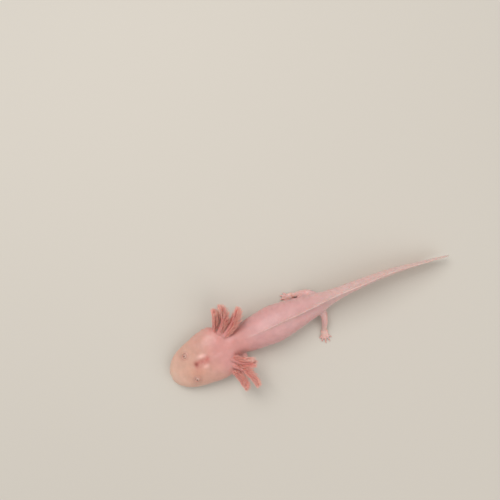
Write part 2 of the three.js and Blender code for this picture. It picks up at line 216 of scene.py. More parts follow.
def body_surface(along, around):
    """The body at a distance from the snout and a turn round it, 0 at the back and a
    quarter at the left: the turn's sine to a power times the half width out, and its
    cosine to a power times the reach up or down from the widest line."""
    angle = 2 * np.pi * around
    upper = np.cos(angle) >= 0
    power = 2 / np.where(upper, BACK_POWER, BELLY_POWER)
    out = half_width(along) * nose_fill(along) * signed_power(np.sin(angle), power)
    rise = body_reach(along, upper) * signed_power(np.cos(angle), power)
    return place(along, out, waist_height(along) + rise)


# %% [markdown]
# The eyes are CAD parts as well, so an eye's box tells where the bent frame lies in the
# shared one. The middle of an eye is a point of the head's surface moved a little way in.

# %% Where the eyes sit, and the shift to the shared frame
EYE_ALONG, EYE_OUT, EYE_RADIUS, EYE_SUNK = 12.5, 6.9, 1.6, 0.8


def eye_seat(side):
    """The middle of an eye and the way it looks. The way is the normal of the head there,
    the cross product of two small steps on its surface; the middle lies sunk below it."""
    share = EYE_OUT / (half_width(EYE_ALONG) * nose_fill(EYE_ALONG))
    around = side * np.arcsin(share ** (BACK_POWER / 2)) / (2 * np.pi)
    across = body_surface(EYE_ALONG, around * 1.02) - body_surface(EYE_ALONG, around * 0.98)
    ahead = body_surface(EYE_ALONG - 0.2, around) - body_surface(EYE_ALONG + 0.2, around)
    way = np.cross(across, ahead)
    way *= np.sign(way[2]) / np.linalg.norm(way)
    return body_surface(EYE_ALONG, around) - way * EYE_SUNK, way


low, high = (np.array(corner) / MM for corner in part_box("eye_left"))
SHIFT = (low + high) / 2 - eye_seat(1)[0]
print("shift to the shared frame, mm:", SHIFT.round(2))
SHIFT[2] = 0

# %% [markdown]
# Every soft part starts as rings of points that follow each other. The rings are joined
# by quads, and a point in the middle of each end ring closes the form, so that it is
# watertight and can be melted together with its neighbours later.

# %% Joining rings into closed forms
def closed_rings(rings):
    """A closed form over an array of rings (rings, sides, 3) as points, quads between each
    ring and the next, and triangles that fan over each end."""
    count, sides, _ = rings.shape
    points = np.concatenate([rings.reshape(-1, 3), [rings[0].mean(0)], [rings[-1].mean(0)]])
    row = np.arange(count - 1)[:, None] * sides
    k = np.arange(sides)
    after = (k + 1) % sides
    quads = np.stack([row + k, row + after, row + sides + after, row + sides + k], -1)
    last = (count - 1) * sides
    fans = [
        np.stack([np.full(sides, count * sides), after, k], -1),
        np.stack([np.full(sides, count * sides + 1), last + k, last + after], -1),
    ]
    return points, quads.reshape(-1, 4), np.concatenate(fans)


def joined(forms):
    """Several forms as one, with each one's faces counted on from the points before it."""
    starts = np.cumsum([0] + [len(points) for points, _, _ in forms[:-1]])
    return (
        np.concatenate([points for points, _, _ in forms]),
        np.concatenate([quads + start for start, (_, quads, _) in zip(starts, forms)]),
        np.concatenate([fans + start for start, (_, _, fans) in zip(starts, forms)]),
    )


def new_piece(name, form, shift=SHIFT):
    """A mesh object at the origin, from a form told in millimetres."""
    points, quads, triangles = form
    mesh = bpy.data.meshes.new(name)
    mesh.vertices.add(len(points))
    mesh.vertices.foreach_set("co", ((points + shift) * MM).ravel())
    corners = np.concatenate([quads.ravel(), triangles.ravel()])
    sizes = np.concatenate([np.full(len(quads), 4), np.full(len(triangles), 3)])
    mesh.loops.add(len(corners))
    mesh.loops.foreach_set("vertex_index", corners)
    mesh.polygons.add(len(sizes))
    mesh.polygons.foreach_set("loop_start", np.cumsum(sizes) - sizes)
    mesh.update(calc_edges=True)
    mesh.shade_smooth()
    piece = bpy.data.objects.new(name, mesh)
    bpy.context.scene.collection.objects.link(piece)
    return piece


# %% [markdown]
# Legs, toes and gill stalks are tubes: a round section carried along a smooth path that
# passes through a few chosen points, with its size read from a profile.

# %% Paths and tubes
def smooth_path(points, count):
    """Evenly spaced points on a centripetal Catmull-Rom curve: a cubic between each two
    points whose slopes come from their neighbours, with steps counted as the root of
    their length."""
    points = np.array(points, float)
    points = np.concatenate([[2 * points[0] - points[1]], points, [2 * points[-1] - points[-2]]])
    steps = np.linalg.norm(np.diff(points, axis=0), axis=1) ** 0.5
    knot = np.concatenate([[0], np.cumsum(steps)])
    t = np.linspace(knot[1], knot[-2], count)
    i = np.clip(np.searchsorted(knot, t, side="right") - 1, 1, len(knot) - 3)
    slope = (points[2:] - points[:-2]) / (knot[2:] - knot[:-2])[:, None]
    span = (knot[i + 1] - knot[i])[:, None]
    u = (t[:, None] - knot[i][:, None]) / span
    start = (1 - u) ** 2 * ((1 + 2 * u) * points[i] + u * span * slope[i - 1])
    end = u**2 * ((3 - 2 * u) * points[i + 1] + (u - 1) * span * slope[i])
    path = start + end
    travelled = walked(path)
    even = np.linspace(0, travelled[-1], count)
    return np.stack([np.interp(even, travelled, path[:, axis]) for axis in range(3)], -1)


def walked(path):
    """The distance walked along a path up to each of its points."""
    return np.concatenate([[0], np.cumsum(np.linalg.norm(np.diff(path, axis=0), axis=1))])


def frames(path, up):
    """Per point of a path, the way ahead, the way across it and the way raised from it."""
    ahead = np.gradient(path, axis=0)
    ahead /= np.linalg.norm(ahead, axis=1)[:, None]
    across = np.cross(np.broadcast_to(up, ahead.shape), ahead)
    across /= np.linalg.norm(across, axis=1)[:, None]
    return ahead, across, np.cross(ahead, across)


def tube(path, radius, sides=24, up=(0, 0, 1), flat=1.0):
    """Rings about a path: the radius there times cosine across and flat times sine raised.
    Near an end the radius follows a quarter circle down to a small tip."""
    _, across, raised = frames(path, up)
    travelled = walked(path)
    size = radius(travelled / travelled[-1])
    to_end = np.minimum(travelled, travelled[-1] - travelled)
    size = size * np.sqrt(1 - (1 - np.clip(to_end / size, 0.02, 1)) ** 2)
    angle = np.linspace(0, 2 * np.pi, sides, endpoint=False)[None, :, None]
    ring = np.cos(angle) * across[:, None] + flat * np.sin(angle) * raised[:, None]
    return path[:, None] + size[:, None, None] * ring


# %% [markdown]
# Head, trunk and tail are one soft form: wide and flat at the head, nearly round in the
# trunk, thin towards the tail. The fins are thin skin stretched upright, a low one along
# the back that grows into the tail fin, and one under the tail. Each is a blade that
# thins from its root to its edge and waves a little, as a live fin does in still water.
# A melt needs a blade a few voxels thick, so fins go in twice as thick as they should be
# and toes a little too fat, and the skin over them is brought back in afterwards.

# %% The body and the fins as closed forms
along_rows = np.concatenate([
    NOSE_LENGTH * np.linspace(0.03, 1, 50) ** 2,
    np.linspace(NOSE_LENGTH, LENGTH, 420)[1:],
])
around_columns = np.linspace(0, 1, 160, endpoint=False)
body = closed_rings(body_surface(along_rows[:, None], around_columns))


SWAY_LENGTH, SWAY_GROWS = 5.5, 30


def sway(along, share, start, wave):
    """How far the middle of a blade sways out: a sine along the body, times the square of
    the share of the way to its edge, growing in over its first stretch."""
    return wave * share**2 * np.sin(along / SWAY_LENGTH) * ease(along, start, start + SWAY_GROWS)


FIN_EDGE, FIN_FAT, FIN_END = 0.24, 0.24, LENGTH - 0.6
BLADES = [  # the line it grows from, its edge, start, wave, half thickness, and its side up
    (back_height, crest_height, 43, 0.22, 1.1, 1),
    (belly_height, keel_height, 91, 0.16, 0.9, -1),
]


def fin(edge_height, start, wave, root_half, sign):
    """A blade as rings round its section, up one side and down the other. The height goes
    from the spine's level to the edge as half of 1 plus cosine, and the half thickness
    falls as the square of what is left to the edge."""
    along = np.linspace(start, FIN_END, 300)[:, None]
    angle = np.linspace(0, 2 * np.pi, 32, endpoint=False)
    share = (1 + np.cos(angle)) / 2
    root = waist_height(along)
    half = FIN_FAT + FIN_EDGE + (root_half - FIN_EDGE) * (1 - share) ** 2
    out = sign * half * signed_power(np.sin(angle), 0.4) + sway(along, share, start, wave)
    reach = edge_height(along) - root
    reach = reach + np.sign(reach) * FIN_FAT
    return closed_rings(place(along, out, root + reach * share))


fins = [fin(*blade[1:]) for blade in BLADES]
print("body and fins:", sum(len(points) for points, _, _ in [body, *fins]), "points")

# %% [markdown]
# The legs are short and soft, with no claws: four toes in front and five behind. They
# rest splayed on the floor. The left hind leg reaches straight out, the right one is
# folded forward against the flank, and the hands rest under the gills.

# %% Legs, palms and toes
ARM = dict(
    radii=[1.95, 1.75, 1.4, 1.25, 1.0], palm=(2.1, 1.75, 0.85), toes=[2.7, 4, 4.1, 2.9], spread=27
)
LEG = dict(
    radii=[2.7, 2.2, 1.75, 1.5, 1.1], palm=(2.4, 2.05, 0.95), toes=[2.5, 3.6, 4.4, 4.1, 2.9],
    spread=22,
)
LIMBS = {
    "arm_left": dict(
        ARM, side=1, aim=(-0.25, 1), joints=[(39.8, 4.4, 5.2), (39.6, 10.4, 4.6), (35.6, 15.2, 1.6)]
    ),
    "arm_right": dict(
        ARM, side=-1, aim=(-0.1, 1), joints=[(40.4, 4.4, 5.2), (41.6, 10, 4.5), (37.8, 14, 1.6)]
    ),
    "leg_left": dict(
        LEG, side=1, aim=(-0.3, 1), joints=[(88.4, 2.4, 6), (87.2, 9.8, 5.6), (85.2, 14.8, 1.8)]
    ),
    "leg_right": dict(
        LEG, side=-1, aim=(-1, 0.12), joints=[(88.4, 2.4, 6), (84.6, 7.2, 5), (78.2, 8.7, 1.8)],
        toes=[1.5, 3.6, 4.4, 4.1, 2.9], spread=19,
    ),
}
TOE_RADII, TOE_FAT = [0.56, 0.5, 0.45, 0.4], 0.1


def limb_path(side, joints, aim, palm):
    """The middle line of a leg: hip, knee and wrist, and on to the middle of the palm."""
    points = [place(along, out * side, height) for along, out, height in joints]
    way = np.array([aim[1] * side, aim[0]]) / math.hypot(*aim)
    knuckles = np.array([*(points[2][:2] + way * 1.2), palm[2]])
    return smooth_path([*points, knuckles], 60), points[2], way


def toe_path(wrist, way, fan, palm_length, length):
    """The middle line of a toe: from inside the palm, fanned out by an angle, over its
    knuckle and down to the floor at its tip."""
    turn = math.atan2(way[0], way[1]) - fan
    ahead = np.array([math.sin(turn), math.cos(turn)])
    root = wrist[:2] + way * palm_length * 0.7
    knuckle = 0.9 * palm_length
    reach = np.array([0, knuckle, knuckle + 0.45 * length, knuckle + length])
    height = np.array([0.8, 0.85, 0.75, TOE_RADII[-1]])
    return smooth_path(np.column_stack([root + reach[:, None] * ahead, height]), 26)


def palm_form(wrist, way, palm):
    """The palm: an ellipsoid, long ahead, wide across and flat."""
    length, width, thickness = palm
    polar = np.linspace(0.06, np.pi - 0.06, 20)[:, None]
    turn = np.linspace(0, 2 * np.pi, 28, endpoint=False)
    ahead = np.cos(polar) * length * np.ones_like(turn) + length * 0.75
    across = np.sin(polar) * np.cos(turn) * width
    x = wrist[0] + ahead * way[0] + across * way[1]
    y = wrist[1] + ahead * way[1] - across * way[0]
    raised = thickness * (0.85 + np.sin(polar) * np.sin(turn))
    return closed_rings(np.stack([x, y, raised], -1)[:, ::-1])


limb_paths, toe_paths, limbs = [], [], []
for shape in LIMBS.values():
    side, palm, toes = shape["side"], shape["palm"], shape["toes"]
    path, wrist, way = limb_path(side, shape["joints"], shape["aim"], palm)
    limb_paths.append(path)
    limbs.append(closed_rings(tube(path, even_profile(shape["radii"]), 28)))
    limbs.append(palm_form(wrist, way, palm))
    for i, length in enumerate(toes):
        fan = (i - (len(toes) - 1) / 2) * math.radians(shape["spread"]) * side
        toe_paths.append(toe_path(wrist, way, fan, palm[0], length))
        fat_radii = even_profile([radius + TOE_FAT for radius in TOE_RADII])
        limbs.append(closed_rings(tube(toe_paths[-1], fat_radii, 14)))
print("legs:", len(limbs), "closed forms")

# %% [markdown]
# Six gill stalks stand out behind the head, three on a side. They are thick and fleshy
# where they leave the head, and taper to a soft point.

# %% Gill stalks
GILLS = {
    "gill_left_1": (1, [(30.6, 11.6, 6.4), (32, 17.8, 10.2), (33, 22.8, 13.8)]),
    "gill_left_2": (1, [(32.4, 9, 9), (37.2, 15.2, 13), (40, 25, 15)]),
    "gill_left_3": (1, [(33.8, 6.2, 10.4), (37.9, 9.9, 15), (44, 12.4, 19)]),
    "gill_right_1": (-1, [(31.6, 9.8, 7.6), (34.6, 15.2, 11.6), (36.8, 19.8, 15.2)]),
    "gill_right_2": (-1, [(33.4, 8, 9.6), (39, 14.4, 14.2), (40.6, 21.6, 18.2)]),
    "gill_right_3": (-1, [(34.8, 5.8, 10.2), (43.2, 11, 14.6), (48.8, 16.4, 18)]),
}
STALK_SHARE = 0.9  # the fringe goes on past the stalk's own end
STALK_UP = (0, -1, 0)
stalk_radius = even_profile([2.1, 1.6, 1.2, 0.9, 0.65, 0.42])


def stalk_path(side, points):
    """The middle line of a stalk: a smooth path through three places, cut short of its
    end by the length of the fringe there."""
    path = smooth_path([place(along, out * side, height) for along, out, height in points], 120)
    return path[: round(len(path) * STALK_SHARE) : 2]


stalk_paths = [stalk_path(side, points) for side, points in GILLS.values()]
stalks = [closed_rings(tube(path, stalk_radius, 24, STALK_UP, flat=0.85)) for path in stalk_paths]

# %% [markdown]
# All these forms are melted into one skin. A voxel remesh keeps only the outside of the
# whole heap, with faces all of one size. The head and hands need smaller faces than the
# back, so the heap is first straightened and stretched: its front end is made larger, and
# the thin tail fin wider. After the melt the same stretch is undone, and the faces are
# left small where the form was stretched.

# %% Stretch, melt and shrink back
VOXEL = 0.475
along_table = np.arange(-5, LENGTH + 5, 0.25)
finer = profile([
    (0, 1.62), (34, 1.62), (46, 1.35), (54, 1.08), (70, 1.08), (78, 1.2), (90, 1.15),
    (102, 0.95), (163.5, 1.05),
])
wider = profile([(0, 1), (88, 1), (112, 1.7), (163.5, 2.2)])
stretched_table = np.cumsum(finer(along_table)) * 0.25


def stretch(points):
    """Straightens the body, then scales it by the finer profile where each point is, and
    its width by the wider one as well. Lengths add up as the running sum of finer."""
    along, out, height = told(points)
    size = finer(along)
    ahead = np.interp(along, along_table, stretched_table)
    return np.stack([out * size * wider(along), ahead, height * size], -1)


def shrink_back(points):
    """Undoes stretch: the running sum is read the other way round."""
    along = np.interp(points[:, 1], stretched_table, along_table)
    size = finer(along)
    return place(along, points[:, 0] / size / wider(along), points[:, 2] / size)


def read(things, key):
    """One three-part value of each of a mesh's things, as rows of an array."""
    found = np.empty(len(things) * 3)
    things.foreach_get(key, found)
    return found.reshape(-1, 3)


def points_of(mesh):
    return read(mesh.vertices, "co") / MM - SHIFT


def set_points(mesh, points):
    mesh.vertices.foreach_set("co", ((points + SHIFT) * MM).ravel())
    mesh.update()


def melted(name, forms):
    """One mesh over the outside of several closed forms, by voxel remeshing."""
    points, quads, fans = joined(forms)
    heap = new_piece(name + "_heap", (stretch(points), quads, fans))
    remesh = heap.modifiers.new("melt", "REMESH")
    remesh.mode = "VOXEL"
    remesh.voxel_size = VOXEL * MM
    evaluated = heap.evaluated_get(bpy.context.evaluated_depsgraph_get())
    mesh = bpy.data.meshes.new_from_object(evaluated)
    bpy.data.objects.remove(heap)
    mesh.name = name
    set_points(mesh, shrink_back(points_of(mesh)))
    mesh.shade_smooth()
    piece = bpy.data.objects.new(name, mesh)
    bpy.context.scene.collection.objects.link(piece)
    return piece


skin = melted("skin", [body, *fins, *limbs, *stalks])
print("skin:", len(skin.data.polygons), "quads")

# %% [markdown]
# The mouth, nostrils and eyes are drawn finer than the rest, so the faces close to them
# are each split in four. The distances to their lines pick the faces.

# %% Lines drawn on the head
MOUTH_CORNER = 14.5


def mouth_height(along):
    """The mouth line's height: nearly level, then up by a smile before the corner."""
    return 3.85 + 0.15 * np.clip(along / MOUTH_CORNER, 0, 1.2) + 0.85 * ease(along, 8.5, 15)


def on_side(along, height, side):
    """The point of the body's side at a height: the turn is solved from the section's
    cosine law, above or below the widest line."""
    rise = height - waist_height(along)
    share = np.clip(np.abs(rise) / np.maximum(body_reach(along, rise >= 0), 1e-6), 0, 1)
    power = np.where(rise >= 0, BACK_POWER, BELLY_POWER)
    turn = np.arccos(np.sign(rise) * share ** (power / 2)) / (2 * np.pi)
    return body_surface(along, side * turn)


mouth_along = NOSE_LENGTH * np.linspace(0, 1, 40) ** 2 * MOUTH_CORNER / NOSE_LENGTH
mouth_line = np.concatenate([
    on_side(mouth_along[::-1], mouth_height(mouth_along[::-1]), -1),
    on_side(mouth_along, mouth_height(mouth_along), 1),
])
NOSTRIL_ALONG, NOSTRIL_AROUND = 0.75, 0.13
nostrils = [body_surface(NOSTRIL_ALONG, side * NOSTRIL_AROUND) for side in (-1, 1)]
eye_seats = {side: eye_seat(side) for side in (1, -1)}


def nearest_on(points, path):
    """For each point, its distance to the closest point of a path and that point's share
    of the path, from the squares |p|^2 + |q|^2 - 2 p.q of all pairs."""
    squares = (points**2).sum(1)[:, None] + (path**2).sum(1) - 2 * points @ path.T
    closest = squares.argmin(1)
    gap = points - path[closest]
    return np.linalg.norm(gap, axis=1), closest / (len(path) - 1)


def refine(mesh, picked):
    """Splits each face whose corners are all picked in four, and joins the rest up."""
    work = bmesh.new()
    work.from_mesh(mesh)
    work.verts.ensure_lookup_table()
    chosen = {work.verts[i] for i in np.flatnonzero(picked)}
    edges = [edge for edge in work.edges if edge.verts[0] in chosen and edge.verts[1] in chosen]
    bmesh.ops.subdivide_edges(work, edges=edges, cuts=1, use_grid_fill=True)
    work.to_mesh(mesh)
    work.free()
    mesh.shade_smooth()


MOUTH_NEAR, NOSTRIL_NEAR, EYE_NEAR = 1.1, 1.0, 2.9


def near_features(points):
    """Whether each point is close enough to the mouth, a nostril or an eye."""
    near = nearest_on(points, mouth_line)[0] < MOUTH_NEAR
    spots = [(middle, NOSTRIL_NEAR) for middle in nostrils]
    spots += [(middle, EYE_NEAR) for middle, _ in eye_seats.values()]
    for middle, most in spots:
        near |= np.linalg.norm(points - middle, axis=1) < most
    return near


# %% Fill the creases and calm the surface
# Each hollow crease, where a leg or a fin leaves the body, is filled little by little,
# which leaves the rounded hollows that soft flesh has.
class Net:
    """The edges of a mesh as arrays, for moving points by their neighbours."""

    def __init__(self, mesh):
        ends = np.empty(len(mesh.edges) * 2, int)
        mesh.edges.foreach_get("vertices", ends)
        self.ends = ends.reshape(-1, 2)
        self.count = np.bincount(ends, minlength=len(mesh.vertices))[:, None]

    def step(self, points):
        """For each point, the step to the middle of its neighbours."""
        a, b = self.ends.T
        total = np.stack([
            np.bincount(a, points[b, axis], len(points))
            + np.bincount(b, points[a, axis], len(points))
            for axis in range(points.shape[1])
        ], -1)
        return total / self.count - points


def off_toes(points, near, far):
    """0 as near as that to a toe's middle line, 1 as far as that, and a soft step between."""
    gap = np.min([nearest_on(points, path)[0] for path in toe_paths], axis=0)
    return ease(gap, near, far)[:, None]


def fill_creases(mesh, rounds):
    """Moves each hollow point out along its normal towards its neighbours' middle, and
    leaves the others, so that outer edges keep their place. The gaps between toes stay."""
    net, points = Net(mesh), points_of(mesh)
    most = 0.02 + 0.58 * off_toes(points, 1, 3)[:, 0]
    for i in range(rounds):
        if i % 10 == 0:
            set_points(mesh, points)
            normals = read(mesh.vertex_normals, "vector")
        hollow = (net.step(points) * normals).sum(1)
        points = points + (most * np.clip(hollow - 0.002, 0, None))[:, None] * normals
    set_points(mesh, points)


def calm(mesh, rounds, weight=1.0):
    """Taubin smoothing: a step in and a slightly longer step out, so nothing shrinks."""
    net, points = Net(mesh), points_of(mesh)
    for _ in range(rounds):
        points = points + 0.5 * weight * net.step(points)
        points = points - 0.52 * weight * net.step(points)
    set_points(mesh, points)


def on_blade(points):
    """1 on the free part of a fin and 0 on the body, told from the body's own lines."""
    along, _, height = told(points)
    above = ease(height - back_height(along), 0, 0.8) * ease(along, 44, 50)
    below = ease(belly_height(along) - height, 0, 0.8) * ease(along, 91, 95)
    return np.maximum(above, below)[:, None]


calm(skin.data, 4)
fill_creases(skin.data, 60)
calm(skin.data, 4)
calm(skin.data, 14, off_toes(points_of(skin.data), 0.9, 2))
calm(skin.data, 24, on_blade(points_of(skin.data)))
refine(skin.data, near_features(points_of(skin.data)))
calm(skin.data, 2)
print("skin:", len(skin.data.vertices), "points after refining")

# %% [markdown]
# From here on the skin changes by small moves only. Each point is told again in the bent
# frame, and the parts it belongs to are given as numbers from 0 to 1. Both the carving and
# the colours are written with these.

# %% What each point of the skin belongs to
points = points_of(skin.data)
normals = read(skin.data.vertex_normals, "vector")
along, out, height = told(points)
half = half_width(along) * nose_fill(along)
waist = waist_height(along)
rise = (height - waist) / np.maximum(body_reach(along, height >= waist), 0.1)


def soften(values, rounds):
    """Values on the skin, each moved half of the way to its neighbours' mean, round by round."""
    net, values = Net(skin.data), values[:, None]
    for _ in range(rounds):
        values = values + 0.5 * net.step(values)
    return values[:, 0]


def belonging(paths, radius, full):
    """How much each point belongs to a set of tubes, 0 at their roots to 1 past a share of
    their length, and its share of the way along the tube it is closest to."""
    best, share = np.full(len(points), np.inf), np.zeros(len(points))
    for path in paths:
        gap, on_path = nearest_on(points, path)
        gap = gap / radius(on_path)
        share = np.where(gap < best, on_path, share)
        best = np.minimum(gap, best)
    near = 1 - ease(best, 1.45, 1.95)
    return near * ease(share, *full), share * near


on_stalk, stalk_share = belonging(stalk_paths, stalk_radius, (0.02, 0.25))
on_limb, limb_share = belonging(limb_paths, even_profile([2.6, 2.1, 1.7, 1.7, 2]), (0.12, 0.35))
on_toe, toe_share = belonging(toe_paths, lambda share: 0.8 + 0 * share, (0.22, 0.5))
on_limb = soften(np.maximum(on_limb, on_toe), 8)
on_body = (1 - on_limb) * (1 - on_stalk)
fin_rise = ease(height - back_height(along), -0.3, 1.6) * ease(along, 43, 50)
fin_drop = ease(belly_height(along) - height, -0.3, 1.6) * ease(along, 91, 96)
on_fin = on_body * np.maximum(fin_rise, fin_drop)
side_wall = np.clip(np.abs(out) / np.maximum(half, 0.5), 0, 1.2)
print("shares of skin: limbs", on_limb.mean().round(3), "stalks", on_stalk.mean().round(3),
      "fins", on_fin.mean().round(3))

# %% [markdown]
# A real skin has folds, pits and swellings. Each is written here as a small move along
# the normal: a bell for a swelling, a bell turned inwards for a groove, a sine where the
# grooves repeat. They add up to one height for each point, which then moves by it.

# %% Carve the face
def ripple(places, size, seed, waves=14):
    """A soft random field of about one unit: the sum of sines over random directions and
    phases, each wave about size long."""
    rng = np.random.default_rng(seed)
    ways = rng.normal(size=(waves, 3))
    pace = 2 * np.pi / size / np.linalg.norm(ways, axis=1) * rng.uniform(0.7, 1.4, waves)
    ways *= pace[:, None]
    return np.sin(places @ ways.T + rng.uniform(0, 2 * np.pi, waves)).sum(1) / math.sqrt(waves)


# The crease share darkens grooves and pits: partly blood, partly painted shade.
relief, groove_blood_and_shade = np.zeros(len(points)), np.zeros(len(points))


def cut(mask, gap, width, depth, tint=1.0):
    """A groove or pit: a bell across the gap to its line, turned inwards. How deep it
    lies is kept as well, for a darker colour there: partly blood, partly painted shade."""
    shape = mask * bell(gap, width)
    relief[:] -= depth * shape
    groove_blood_and_shade[:] = np.maximum(groove_blood_and_shade, tint * shape)


above_mouth = height - mouth_height(along)
in_mouth = on_body * (1 - ease(along, MOUTH_CORNER - 0.6, MOUTH_CORNER + 0.4))
lips = on_body * (1 - ease(along, MOUTH_CORNER - 1.5, MOUTH_CORNER + 2))
at_tip = 1 - 0.55 * bell(along, 1.2)
cut(in_mouth, above_mouth, 0.19, 0.34)
relief += lips * at_tip * 0.2 * bell(above_mouth - 0.62, 0.5)
relief -= lips * 0.2 * between(above_mouth, -1.6, -0.1, 0.5)
corner_gap = np.hypot(along - MOUTH_CORNER - 0.7, above_mouth + 0.5)
relief += on_body * 0.22 * bell(corner_gap, 0.9)
behind_corner = along - MOUTH_CORNER - 0.35 - 0.35 * np.abs(above_mouth + 0.6)
cut(on_body * between(above_mouth, -1.7, 0.1, 0.4), behind_corner, 0.42, 0.1, 0.3)

for middle in nostrils:
    gap = np.linalg.norm(points - middle, axis=1)
    cut(1, gap, 0.3, 0.4)
    relief += 0.05 * bell(gap - 0.6, 0.22)

eye_gap = np.full(len(points), 99.0)
for middle, way in eye_seats.values():
    offset = points - middle
    depth = offset @ way
    ring = np.linalg.norm(offset - depth[:, None] * way, axis=1)
    ring = np.where(depth > 0, ring, 99)
    eye_gap = np.minimum(eye_gap, ring)
relief += 0.26 * bell(eye_gap, 3.0) * (eye_gap > 1.5)
relief += 0.15 * bell(eye_gap - 1.62, 0.28)
cut(1, eye_gap - 2.3, 0.4, 0.05, 0.15)
relief += np.where(eye_gap < 1.5, -0.75 * (1 - (eye_gap / 1.5) ** 2) + 0.2, 0)

# The crown: jaw muscles swell behind the eyes, and two low bosses flank a furrow.
on_top = ease(rise, 0.1, 0.6) * on_body
relief += 0.45 * on_top * bell(along - 21.5, 5) * bell(np.abs(out) - 7.4, 3)
relief += 0.26 * on_top * bell(along - 20.4, 2.2) * bell(np.abs(out) - 2.9, 1.0)
relief -= 0.24 * on_top * between(along, 14, 30, 4) * bell(out, 1.2)
relief -= 0.22 * on_top * bell(along - 6.5, 2.6) * bell(np.abs(out) - 3.6, 2)
relief += 0.12 * on_top * bell(along - 3, 2.5) * bell(out, 1.5)

# %% Carve the throat, gill slits, flanks, tail and legs
under = on_body * ease(-rise, -0.25, 0.35)
throat = along - (30.3 - 0.016 * out**2)
relief += under * 0.3 * bell(throat + 0.75, 0.7)
cut(under, throat, 0.26, 0.5)
cheek = on_body * (1 - under) * ease(np.abs(out), 4, 6.5) * between(height, 2.5, 10, 2)
for row, depth in ((34.6, 0.2), (36.1, 0.16), (37.6, 0.13)):
    cut(cheek, along - row - 0.22 * (height - 8), 0.3, depth, 0.8)

COSTAL_STEP, MYOMERE_STEP = 3.35, 3.1
flank = on_body * between(along, 47.5, 86, 2.5) * ease(side_wall, 0.45, 0.8)
flank = flank * between(rise, -0.9, 0.55, 0.3)
beat = ((along + 0.22 * (height - waist)) / COSTAL_STEP) % 1 - 0.5
relief -= flank * 0.02 * np.cos(2 * np.pi * beat)
cut(flank, beat * COSTAL_STEP, 0.36, 0.09, 0.3)
muscle = on_body * (1 - on_fin) * ease(along, 88, 96) * (1 - ease(along, 140, 158))
chevron = ((along - 0.45 * np.abs(height - waist)) / MYOMERE_STEP) % 1 - 0.5
cut(muscle * ease(side_wall, 0.3, 0.7), chevron * MYOMERE_STEP, 0.4, 0.11, 0.3)
cut(muscle * ease(side_wall, 0.5, 0.8), height - waist - 0.2, 0.35, 0.1, 0.3)

relief += under * 0.7 * bell(along - 92.5, 3.2) * bell(out, 2.2)
cut(under * between(along, 90.5, 94.5, 0.8), out, 0.3, 0.5)
fin_fold = np.sin(2 * np.pi * (along + 0.8 * height) / 2.6 + 1.1 * ripple(points, 9, 5))
relief += on_fin * 0.035 * fin_fold
relief -= TOE_FAT * on_toe
joint = bell(limb_share - 0.46, 0.07) + 0.7 * bell(limb_share - 0.86, 0.05)
limb_fold = np.sin(2 * np.pi * limb_share * 26 + ripple(points, 3, 7))
relief -= on_limb * (1 - on_toe) * joint * 0.035 * (1 + limb_fold)
relief += on_body * 0.05 * ripple(points, 7, 1) + 0.015 * ripple(points, 2.2, 2)


BLOCKS = 2  # to a millimetre of the body
TIP_THINS = (148, 163)


def on_fin_lines(points):
    """Each fin at its drawn height and thickness. The outermost point in each half
    millimetre of the body tells how far a blade reaches now, and the blade is scaled in
    height by the reach it should have over the reach it has, three times over. Its
    thickness is scaled about its swaying middle, and the tail is pressed thin at its tip."""
    along, out, height = told(points)
    waist = waist_height(along)
    block = np.clip(np.round(along * BLOCKS), 0, BLOCKS * LENGTH).astype(int)
    for root, edge, start, wave, _, sign in BLADES:
        for _ in range(3):
            reach = sign * (height - root(along))
            furthest = np.full(int(BLOCKS * LENGTH) + 2, 0.1)
            np.maximum.at(furthest, block, reach)
            wanted = sign * (edge(along) - root(along))
            scale = wanted / np.interp(along, np.arange(len(furthest)) / BLOCKS, furthest)
            share = ease(reach, 0.1, 0.8) * between(along, start + 4, LENGTH - 4, 3)
            height = height + sign * share * reach * (np.clip(scale, 0.7, 1.3) - 1)
        middle = sway(along, np.clip((height - waist) / (edge(along) - waist), 0, 1), start, wave)
        thinner = on_fin * (reach > -0.3) * FIN_FAT / (FIN_FAT + FIN_EDGE)
        out = middle + (out - middle) * (1 - thinner)
    return place(along, out * (1 - 0.5 * ease(along, *TIP_THINS)), height)


# The skin ends inside the frame's box, and flat on the floor where it rests.
box_low, box_high = (np.array(corner) / MM - SHIFT for corner in frame_bounds)
MARGIN = np.array([0.05, 0.05, 0])
set_points(skin.data, points + relief[:, None] * normals)
seams = np.maximum(on_limb * (1 - on_limb), on_stalk * (1 - on_stalk))
calm(skin.data, 10, np.maximum(4 * seams, on_fin)[:, None])
set_points(skin.data, on_fin_lines(points_of(skin.data)))
calm(skin.data, 3, on_fin[:, None])
points = np.clip(points_of(skin.data), box_low + MARGIN, box_high - MARGIN)
set_points(skin.data, points)
print("relief from", relief.min().round(2), "to", relief.max().round(2), "mm")

# %% Numbers on the skin for its colours
def paint(mesh, name, values):
    """Keeps a number for each point of a mesh, under a name that materials can read."""
    layer = mesh.attributes.new(name, "FLOAT", "POINT")
    layer.data.foreach_set("value", np.asarray(values, np.float32))


crown_reach = np.where(out < 0, 1.7, 2.5)
crown = on_top * bell(out + 0.2, crown_reach) * between(along, 16, 22.5, 2.6)
brow_spot = on_top * bell(np.hypot(along - 16, (out + 0.4) * 0.85), 1.0)
# Pale patches on the two crown bosses: a painted highlight, where light would catch the wet bumps.
boss_right = bell(along - 20.3 - 0.5 * (out + 2.8), 2.1) * bell(out + 2.85, 1.05)
boss_left = bell(along - 20.4, 1.5) * bell(out - 3.0, 0.95)
painted_boss_highlight = on_top * np.maximum(boss_right, 0.85 * boss_left)
blush = on_top * bell(along - 15, 3.8) * bell(out - 4.4, 2.9)
wedge = 17 + 0.5 * np.abs(out)
flush = ease(along + 0.7 * ripple(points, 8, 22), wedge, wedge + 13) * (1 - ease(along, 34, 52))

# A faint shade lies round each eye, longer along the head than across it.
from_eye = np.hypot((along - EYE_ALONG) / 1.5, np.abs(out) - EYE_OUT)
socket = on_top * bell(from_eye, 1.7)

